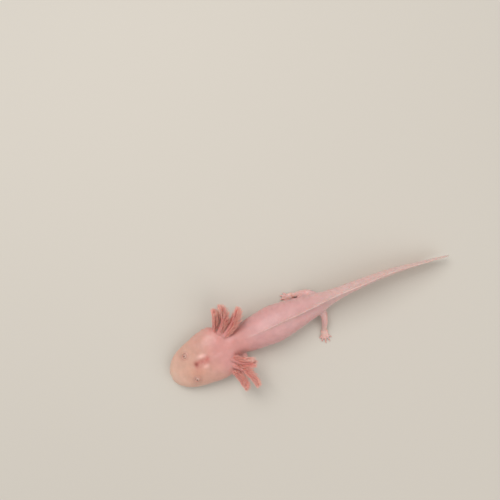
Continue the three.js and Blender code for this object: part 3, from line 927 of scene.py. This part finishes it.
# Rows of sense pores: round each eye, along each side of the snout, and on the lower jaw.
snout_row = bell(np.abs(out) - 3 - 0.3 * along, 0.9) * between(along, 1.5, 11, 2)
snout_row *= ease(rise, 0.1, 0.4)
jaw_row = lips * bell(above_mouth + 2.0, 0.6) * ease(along, 2, 5)
pores = np.maximum.reduce([between(eye_gap, 2.7, 3.9, 0.7), on_body * snout_row, jaw_row])
numbers = {
    "along": along / LENGTH,
    "pores": pores,
    "rise": np.clip(rise * 0.5 + 0.5, 0, 1),
    "crown": crown,
    "brow_spot": brow_spot,
    "painted_boss_highlight": painted_boss_highlight,
    "blush": blush,
    "flush": flush * (1 - on_limb),
    "gill": on_stalk * stalk_share**0.7,
    "limb": on_limb,
    "toe": on_toe * toe_share,
    "fin": on_fin,
    # crease: darker in grooves, partly blood and partly painted shade.
    "groove_blood_and_shade": groove_blood_and_shade * (eye_gap > 1.6),
    "socket": socket,
    "eye_rim": bell(eye_gap - 1.7, 0.5),
    "thin": np.maximum(on_fin, 0.5 * under * between(along, 8, 88, 6)),
}
for name, values in numbers.items():
    paint(skin.data, name, values)
print("numbers on the skin:", ", ".join(numbers))

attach(skin, "root")
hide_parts(*[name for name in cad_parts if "eye" not in name])

# %% [markdown]
# The eyes are small and have no lids. Each is a ball with a slight bulge in front, a
# pale iris and a small pupil, all worked out from the angle to the way it looks.

# %% Eyes
BULGE, BULGE_WIDTH = 0.1, 0.75


def eyeball(side):
    """A ball about the way the eye looks: the distance from its middle is the radius, with
    a bell-shaped bulge of the cornea added near that way."""
    middle, way = eye_seats[side]
    across = np.cross(way, (0, 1, 0))
    across /= np.linalg.norm(across)
    raised = np.cross(way, across)
    front, back = np.linspace(0.02, 1.2, 40), np.linspace(1.2, np.pi - 0.03, 24)[1:]
    polar = np.concatenate([front, back])[:, None]
    turn = np.linspace(0, 2 * np.pi, 64, endpoint=False)
    reach = (EYE_RADIUS - BULGE) + BULGE * bell(polar, BULGE_WIDTH)
    ring = np.cos(turn)[:, None] * across - np.sin(turn)[:, None] * raised
    points = (reach * np.cos(polar))[..., None] * way + (reach * np.sin(polar))[..., None] * ring
    form = closed_rings(middle + points)
    name = "eyeball_left" if side == 1 else "eyeball_right"
    piece = new_piece(name, form)
    offset = form[0] - middle
    sine = np.linalg.norm(offset - (offset @ way)[:, None] * way, axis=1)
    angle = np.arctan2(sine, offset @ way)
    paint(piece.data, "from_gaze", angle / np.pi)
    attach(piece, "root")
    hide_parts("eye_left" if side == 1 else "eye_right")
    return piece


eyes = [eyeball(side) for side in (1, -1)]

# %% [markdown]
# Each gill stalk carries rows of soft filaments that droop to both sides and lean towards
# its tip. There are over two thousand, so each is a slim tapered tube of a few dozen faces.
# A particle system would grow them too, but its hairs aren't a mesh. One array holds them
# all here, and becomes one mesh.

# %% Gill filaments
DROOPS = [-0.15, 0.25, 0.7, 1.2]
PER_ROW = 50
FILAMENT_SIDES, FILAMENT_RINGS = 5, 7
PATCH = 0.003  # the size of a filament's place on its map
filament_length = even_profile([1.6, 3.1, 4.3, 4.8, 4.1, 2.0])
filament_radius = even_profile([0.11, 0.11, 0.1, 0.085, 0.05])


def fringe(path, rng):
    """The filaments of one stalk as an array (filaments, rings, sides, 3), and for each
    its place along and round the stalk. A filament leaves the stalk across it, drooping
    by its row's angle and leaning ahead. Its middle line is that way times u, a bend
    ahead and down times u squared, and a sine for a slight wave."""
    ahead, across, raised = frames(path, STALK_UP)
    rows = [(side, droop) for side in (-1, 1) for droop in DROOPS]
    side, droop = np.repeat(np.array(rows).T, PER_ROW, axis=1)
    count = len(side)
    share = np.tile(np.linspace(0.08, 0.995, PER_ROW), len(rows))
    share = np.clip(share + rng.uniform(-0.012, 0.012, count), 0.06, 1)
    droop = droop + rng.normal(0, 0.08, count)
    at = share * (len(path) - 1)
    i = np.minimum(at.astype(int), len(path) - 2)
    mix = (at - i)[:, None]
    root = path[i] * (1 - mix) + path[i + 1] * mix
    t, s = ahead[i], across[i]
    down = np.cross(t, s)
    down *= -np.sign(down[:, 2:])
    spread = side[:, None] * s * np.cos(droop)[:, None] + down * np.sin(droop)[:, None]
    lean = 0.42 + 0.4 * share + rng.normal(0, 0.05, count)
    way = np.cos(lean)[:, None] * spread + np.sin(lean)[:, None] * t
    bend = 0.42 * t - 0.18 * spread + np.array([0, 0, -0.22]) + rng.normal(0, 0.04, (count, 3))
    wave = np.cross(way, rng.normal(size=(count, 3)))
    length = filament_length(share) * rng.uniform(0.8, 1.1, count)
    u = np.linspace(0, 1, FILAMENT_RINGS)[None, :, None]
    phase = rng.uniform(0, 2 * np.pi, (count, 1, 1))
    swing = 0.06 * u * np.sin(5 * u + phase)
    start = root + spread * (stalk_radius(share) * 0.6)[:, None]
    curve = way[:, None] * u + bend[:, None] * u**2 + wave[:, None] * swing
    middle = start[:, None] + length[:, None, None] * curve
    tangent = np.gradient(middle, axis=1)
    tangent /= np.linalg.norm(tangent, axis=2)[..., None]
    first = np.cross(tangent, t[:, None] + 0.3)
    first /= np.linalg.norm(first, axis=2)[..., None]
    second = np.cross(tangent, first)
    angle = np.linspace(0, 2 * np.pi, FILAMENT_SIDES, endpoint=False)
    ring = np.cos(angle)[:, None] * first[:, :, None] + np.sin(angle)[:, None] * second[:, :, None]
    rings = middle[:, :, None] + filament_radius(u[..., None]) * ring
    return rings, share, side * (1 - droop / 3)


def held_inside(points, soft=1.5, spare=0.1):
    """Bends what would leave the frame's box back into it: past a soft margin, a distance
    d is pressed to soft times the hyperbolic tangent of d over soft, so that it ends a
    spare width short of the box."""
    for axis, corner, sign in ((0, box_high, 1), (0, box_low, -1), (2, box_high, 1)):
        past = sign * (points[..., axis] - corner[axis]) + soft + spare
        pressed = np.where(past > 0, soft * np.tanh(past / soft), past)
        points[..., axis] = corner[axis] + sign * (pressed - soft - spare)
    return points


def filament_mesh(name, paths):
    """All fringes as one mesh of closed tubes, with each point's way along its filament,
    a tint for each filament, and a map on which every filament is a small patch at its
    root's place: the stalks lie side by side, each unrolled."""
    rng = np.random.default_rng(11)
    rings, shares, turns = zip(*(fringe(path, rng) for path in paths))
    tubes = held_inside(np.concatenate(rings))
    count = len(tubes)
    per = FILAMENT_RINGS * FILAMENT_SIDES
    tips = tubes[:, -1].mean(1) + (tubes[:, -1].mean(1) - tubes[:, -2].mean(1)) * 0.25
    roots = tubes[:, 0].mean(1)
    points = np.concatenate([tubes.reshape(count, per, 3), roots[:, None], tips[:, None]], 1)
    _, quads, fans = closed_rings(tubes[0])
    start = (np.arange(count) * (per + 2))[:, None, None]
    form = (points.reshape(-1, 3), (quads + start).reshape(-1, 4), (fans + start).reshape(-1, 3))
    piece = new_piece(name, form)
    u = np.repeat(np.linspace(0, 1, FILAMENT_RINGS), FILAMENT_SIDES)
    paint(piece.data, "way", np.tile(np.append(u, [0, 1]), count))
    paint(piece.data, "tint", np.repeat(rng.uniform(0, 1, count), per + 2))
    stalk = np.repeat(np.arange(len(paths)), count // len(paths))
    paint(piece.data, "stalk_share", np.repeat(np.concatenate(shares), per + 2))
    home_u = (stalk + 0.5 + 0.4 * np.concatenate(turns)) / len(paths)
    home_v = 0.02 + 0.95 * np.concatenate(shares)
    k = np.tile(np.arange(FILAMENT_SIDES) / FILAMENT_SIDES, FILAMENT_RINGS)
    flat_u = home_u[:, None] + PATCH * (np.append(k, [0.5, 0.5]) - 0.5)
    flat_v = home_v[:, None] + PATCH * (np.append(u, [-0.15, 1.15]) - 0.5)
    flat = np.stack([flat_u, flat_v], -1).reshape(-1, 2).clip(0, 1)
    corners = np.empty(len(piece.data.loops), int)
    piece.data.loops.foreach_get("vertex_index", corners)
    layer = piece.data.uv_layers.new(name="OFBake")
    layer.uv.foreach_set("vector", flat[corners].astype(np.float32).ravel())
    return piece


filaments = filament_mesh("gill_filaments", stalk_paths)
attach(filaments, "root")
print("filaments:", len(filaments.data.polygons), "faces")

# %% [markdown]
# The skin is pale, moist and a little clear, so light goes a short way into it. Its
# colour follows the blood: cream at the snout, pink behind the head where the gills take
# their blood, mauve along the trunk, and faint grey-pink in the thin tail.

# %% Helpers for materials
def linear(red, green, blue):
    """A colour from its display values 0 to 255, by the sRGB curve."""
    shown = np.array([red, green, blue]) / 255
    value = np.where(shown <= 0.04045, shown / 12.92, ((shown + 0.055) / 1.055) ** 2.4)
    return (*(float(v) for v in value), 1.0)


class Nodes:
    """A material's node tree, with short ways to add nodes and join them."""

    def __init__(self, tree):
        self.tree = tree

    def add(self, kind, inputs=None, **settings):
        node = self.tree.nodes.new(kind)
        for name, value in settings.items():
            setattr(node, name, value)
        for name, value in (inputs or {}).items():
            self.put(node.inputs[name], value)
        return node

    def put(self, socket, value):
        if isinstance(value, bpy.types.NodeSocket):
            self.tree.links.new(value, socket)
        else:
            socket.default_value = value

    def attribute(self, name):
        return self.add("ShaderNodeAttribute", attribute_name=name).outputs["Fac"]

    def math(self, operation, first, second=0.0):
        node = self.add("ShaderNodeMath", {0: first, 1: second}, operation=operation)
        return node.outputs[0]

    def times(self, first, second):
        return self.math("MULTIPLY", first, second)

    def mix(self, share, first, second, blend="MIX"):
        node = self.add("ShaderNodeMix", data_type="RGBA", blend_type=blend)
        for socket, value in zip((0, 6, 7), (share, first, second)):
            self.put(node.inputs[socket], value)
        return node.outputs[2]

    def ramp(self, share, stops, smooth="EASE"):
        node = self.add("ShaderNodeValToRGB", {"Fac": share})
        node.color_ramp.interpolation = smooth
        while len(node.color_ramp.elements) < len(stops):
            node.color_ramp.elements.new(0.5)
        for element, (at, colour) in zip(node.color_ramp.elements, stops):
            element.position = at
            element.color = colour
        return node.outputs["Color"]

    def mask(self, share, none, full):
        """0 where the share is at none and 1 where it is at full, with a soft step between."""
        return self.ramp(share, sorted([(none, (0, 0, 0, 1)), (full, (1, 1, 1, 1))]))

    def clouds(self, share, dark, light):
        """A tint that goes from a dark one to a light one in the middle of a noise."""
        return self.ramp(share, [(0.35, (*dark, 1)), (0.65, (*light, 1))], "LINEAR")

    def here(self):
        return self.add("ShaderNodeTexCoord").outputs["Object"]

    def noise(self, scale, detail=3.0, rough=0.55, at=None):
        inputs = {"Vector": at or self.here(), "Scale": scale, "Detail": detail, "Roughness": rough}
        return self.add("ShaderNodeTexNoise", inputs).outputs["Fac"]


def material(name, **values):
    """A new material with a Principled shader whose plain values are set on its sockets."""
    made = bpy.data.materials.new(name)
    made.use_nodes = True
    shader = made.node_tree.nodes["Principled BSDF"]
    for socket, value in values.items():
        shader.inputs[socket.replace("_", " ")].default_value = value
    return made, Nodes(made.node_tree), shader


# %% A shared group: fine moist grain
def grain_group():
    """Tiny pits and pebbles: the sum of a coarse and a fine noise as one height."""
    group = bpy.data.node_groups.new("moist grain", "ShaderNodeTree")
    group.interface.new_socket("Size", in_out="INPUT", socket_type="NodeSocketFloat")
    group.interface.new_socket("Height", in_out="OUTPUT", socket_type="NodeSocketFloat")
    nodes = Nodes(group)
    size = nodes.add("NodeGroupInput").outputs["Size"]
    coarse = nodes.noise(size, 3.0)
    fine = nodes.noise(nodes.times(size, 3.4), 2.0)
    total = nodes.math("ADD", nodes.times(coarse, 0.65), nodes.times(fine, 0.35))
    nodes.add("NodeGroupOutput", {"Height": total})
    return group


GRAIN = grain_group()


def grained(nodes, shader, size, distance, extra=None):
    """Bumps a shader by the shared grain at a size per metre, with more height on top."""
    grain = nodes.add("ShaderNodeGroup", node_tree=GRAIN)
    grain.inputs["Size"].default_value = size
    height = grain.outputs["Height"]
    if extra is not None:
        height = nodes.math("ADD", height, extra)
    bump = nodes.add("ShaderNodeBump", {"Strength": 0.35, "Distance": distance, "Height": height})
    nodes.put(shader.inputs["Normal"], bump.outputs["Normal"])


# %% The skin's material
SCATTER = (1.0, 0.46, 0.34)
TONES = [
    (0.0, (220, 182, 162)), (0.07, (212, 167, 148)), (0.15, (209, 160, 146)),
    (0.22, (210, 158, 150)), (0.32, (210, 158, 155)), (0.48, (210, 163, 160)),
    (0.62, (216, 181, 175)), (1.0, (213, 189, 181)),
]
LAYERS = [
    ("blush", 0.4, (212, 142, 118)), ("flush", 0.8, (211, 149, 143)), ("fin", 0.55, (222, 192, 186)),
    ("limb", 0.6, (220, 178, 170)), ("toe", 0.6, (216, 156, 150)), ("crown", 0.75, (200, 112, 106)),
    # The pale bosses layer is a painted highlight on the two crown bosses.
    ("painted_boss_highlight", 0.8, (244, 202, 190)), ("brow_spot", 0.8, (146, 78, 68)),
    ("socket", 0.5, (180, 132, 120)), ("gill", 0.9, (200, 118, 110)),
    # The crease layer is blood and painted shade in the grooves.
    ("groove_blood_and_shade", 0.5, (176, 106, 100)), ("eye_rim", 0.3, (198, 150, 138)),
]
skin_material, nodes, shader = material(
    "moist skin", Roughness=0.36, Subsurface_Weight=0.5, Subsurface_Radius=SCATTER,
    Subsurface_Scale=0.0018, IOR=1.38, Coat_Weight=0.12, Coat_Roughness=0.16,
)
colour = nodes.ramp(nodes.attribute("along"), [(at, linear(*tone)) for at, tone in TONES])
level = nodes.attribute("rise")
colour = nodes.mix(nodes.mask(level, 0.42, 0.0), colour, linear(228, 194, 180))
mottle = nodes.noise(480.0, 3.0, 0.6)
mottle = nodes.ramp(mottle, [(0.35, (0.55, 0.55, 0.55, 1)), (0.6, (1, 1, 1, 1))])
for name, most, tint in LAYERS:
    share = nodes.times(nodes.attribute(name), most)
    if name == "crown":
        share = nodes.times(share, mottle)
    colour = nodes.mix(share, colour, linear(*tint))


# Threads of blood show where the skin is thin, and run back from the muscle to both edges.
def threads(lean):
    """The places where a noise, drawn out upwards and leant by an angle, crosses its middle."""
    leant = {"Vector": nodes.here(), "Rotation": (lean, 0, 0), "Scale": (2, 1, 3.5)}
    leant = nodes.add("ShaderNodeMapping", leant, vector_type="TEXTURE").outputs["Vector"]
    grown = nodes.noise(420.0, 2.0, 0.5, leant)
    return nodes.mask(nodes.math("ABSOLUTE", nodes.math("SUBTRACT", grown, 0.5)), 0.035, 0.0)


thread = nodes.mix(nodes.mask(level, 0.4, 0.6), threads(0.6), threads(-0.6))
thread = nodes.times(thread, nodes.attribute("thin"))
colour = nodes.mix(nodes.times(thread, 0.2), colour, linear(192, 108, 104))
clouds = nodes.clouds(nodes.noise(260.0, 4.0), (0.93, 0.92, 0.92), (1.04, 1.04, 1.04))
colour = nodes.mix(0.8, colour, clouds, "MULTIPLY")

# Sense pores: the middles of scattered cells, kept only along their rows.
cells = nodes.add("ShaderNodeTexVoronoi", {"Vector": nodes.here(), "Scale": 1150.0})
pore = nodes.times(nodes.mask(cells.outputs["Distance"], 0.26, 0.1), nodes.attribute("pores"))
colour = nodes.mix(nodes.times(pore, 0.35), colour, linear(170, 112, 100))
nodes.put(shader.inputs["Base Color"], colour)
grained(nodes, shader, 1500, 0.0002, nodes.times(pore, -0.9))
skin.data.materials.append(skin_material)

# %% The filaments' and the eyes' materials
gill_material, nodes, shader = material(
    "gill filament", Roughness=0.42, Subsurface_Weight=0.4, Subsurface_Radius=SCATTER,
    Subsurface_Scale=0.0002, IOR=1.38,
)
tint = nodes.attribute("tint")
deep = nodes.mix(tint, linear(226, 134, 122), linear(234, 156, 144))
pale = nodes.mix(tint, linear(242, 176, 162), linear(247, 196, 182))
tipward = nodes.mask(nodes.attribute("way"), 0.15, 1.0)
nodes.put(shader.inputs["Base Color"], nodes.mix(tipward, deep, pale))
grained(nodes, shader, 5000, 0.00004)
filaments.data.materials.append(gill_material)

IRIS = [
    (0.0, (120, 72, 68)), (0.085, (128, 78, 74)), (0.1, (222, 188, 166)), (0.13, (194, 152, 138)),
    (0.21, (202, 160, 146)), (0.26, (190, 146, 132)), (0.3, (210, 162, 148)),
]
eye_material, nodes, shader = material(
    "pale eye", Roughness=0.25, Coat_Weight=0.6, Coat_Roughness=0.08
)
iris = nodes.ramp(nodes.attribute("from_gaze"), [(at, linear(*ring)) for at, ring in IRIS], "LINEAR")
fleck = nodes.clouds(nodes.noise(2600.0, 3.0), (0.86, 0.84, 0.84), (1.08, 1.07, 1.05))
nodes.put(shader.inputs["Base Color"], nodes.mix(0.8, iris, fleck, "MULTIPLY"))
for eye in eyes:
    eye.data.materials.append(eye_material)

# %% Camera, light, floor
FLOOR_COLOUR, HAZE_COLOUR = linear(206, 199, 188), linear(214, 208, 198)
floor = bpy.data.meshes.new("floor")
floor.from_pydata([(-1, -1, 0), (1, -1, 0), (1, 1, 0), (-1, 1, 0)], [], [(0, 1, 2, 3)])
floor_object = bpy.data.objects.new("floor", floor)
bpy.context.scene.collection.objects.link(floor_object)
floor_material, nodes, shader = material(
    "pale floor", Roughness=0.9, Base_Color=FLOOR_COLOUR, Specular_IOR_Level=0.0
)
reach = nodes.add("ShaderNodeVectorMath", {0: nodes.here()}, operation="LENGTH")
far_off = nodes.mask(reach.outputs["Value"], 0.13, 0.4)
seen = nodes.times(far_off, nodes.add("ShaderNodeLightPath").outputs["Is Camera Ray"])
haze = nodes.add("ShaderNodeEmission", {"Color": HAZE_COLOUR})
both = nodes.add("ShaderNodeMixShader", {0: seen, 1: shader.outputs[0], 2: haze.outputs[0]})
nodes.put(nodes.tree.nodes["Material Output"].inputs["Surface"], both.outputs[0])
floor.materials.append(floor_material)

CAMERA_PLACE = Vector((-0.0333, -0.0190, 0.2693))
CAMERA_TURN, CAMERA_TILT, LENS = math.radians(64.63), math.radians(2.3), 35.28
camera_data = bpy.data.cameras.new("camera")
camera_data.lens = LENS
camera_data.sensor_width = 36
camera = bpy.data.objects.new("camera", camera_data)
bpy.context.scene.collection.objects.link(camera)
camera.matrix_world = (
    Matrix.Translation(CAMERA_PLACE)
    @ Matrix.Rotation(CAMERA_TURN, 4, "Z")
    @ Matrix.Rotation(CAMERA_TILT, 4, "X")
)
bpy.context.scene.camera = camera


def lamp(name, size, power, position, colour=(1, 1, 1)):
    data = bpy.data.lights.new(name, "AREA")
    data.size = size
    data.energy = power
    data.color = colour
    light = bpy.data.objects.new(name, data)
    light.location = position
    light.rotation_euler = Vector(position).to_track_quat("Z", "Y").to_euler()
    bpy.context.scene.collection.objects.link(light)
    return light


lamp("key", 0.5, 3.5, (-0.45, -0.1, 0.65))
lamp("fill", 0.8, 2.3, (0.5, 0.3, 0.6))
world = bpy.data.worlds.new("studio")
world.use_nodes = True
sky = Nodes(world.node_tree)
soft_light = world.node_tree.nodes["Background"]
soft_light.inputs["Color"].default_value = (0.9, 0.9, 0.9, 1)
soft_light.inputs["Strength"].default_value = 0.55
seen = sky.add("ShaderNodeBackground", {"Color": HAZE_COLOUR, "Strength": 1.0})
rays = sky.add("ShaderNodeLightPath").outputs
looked_at = sky.math("MAXIMUM", rays["Is Camera Ray"], rays["Is Glossy Ray"])
both = sky.add("ShaderNodeMixShader", {0: looked_at, 1: soft_light.outputs[0], 2: seen.outputs[0]})
sky.put(world.node_tree.nodes["World Output"].inputs["Surface"], both.outputs[0])
bpy.context.scene.world = world
bpy.context.scene.view_settings.view_transform = "Standard"
